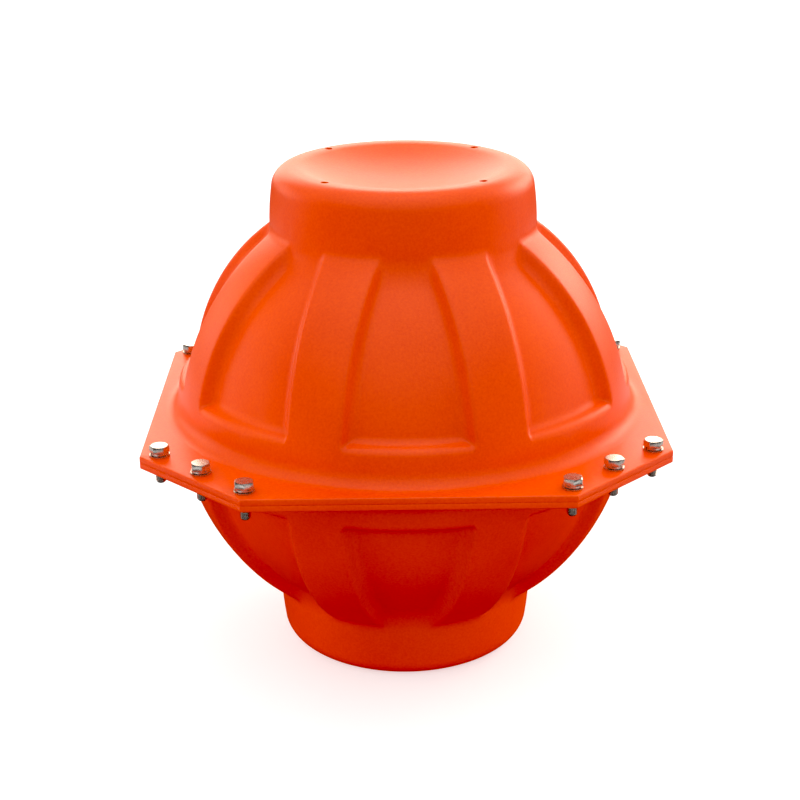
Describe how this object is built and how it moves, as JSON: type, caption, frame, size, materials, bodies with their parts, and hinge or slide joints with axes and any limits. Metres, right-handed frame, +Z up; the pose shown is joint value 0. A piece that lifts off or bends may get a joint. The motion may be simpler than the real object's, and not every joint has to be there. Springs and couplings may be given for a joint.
{
  "type": "deep-sea glass float in a plastic hard hat",
  "caption": "Hollow glass buoyancy sphere enclosed in a two-part ribbed plastic hat with a bolted eight-sided flange and dished neck ends, for moorings and instruments.",
  "frame": {"origin": "centre of the flat ring on which the lower neck stands", "axes": "+Z up through both necks, -Y towards the front straight edge of the flange, +X to the right"},
  "size_m": [0.517, 0.517, 0.512],
  "materials": {
    "orange_polyethylene": "satin moulded, fine grain",
    "stainless_steel": "machined, slightly dulled",
    "borosilicate_glass": "polished, ground at the rims",
    "butyl_rubber": "matt",
    "vinyl_tape": "satin"
  },
  "bodies": {
    "root": {"upper_hat": "orange_polyethylene", "lower_hat": "orange_polyethylene", "glass_upper_half": "borosilicate_glass", "glass_lower_half": "borosilicate_glass", "seal_band": "butyl_rubber", "tape_band": "vinyl_tape", "bolts_right_back": "stainless_steel", "spring_washers_right_back": "stainless_steel", "washers_right_back": "stainless_steel", "press_nuts_right_back": "stainless_steel", "bolts_left_back": "stainless_steel", "spring_washers_left_back": "stainless_steel", "washers_left_back": "stainless_steel", "press_nuts_left_back": "stainless_steel", "bolts_left_front": "stainless_steel", "spring_washers_left_front": "stainless_steel", "washers_left_front": "stainless_steel", "press_nuts_left_front": "stainless_steel", "bolts_right_front": "stainless_steel", "spring_washers_right_front": "stainless_steel", "washers_right_front": "stainless_steel", "press_nuts_right_front": "stainless_steel"}
  },
  "joints": []
}
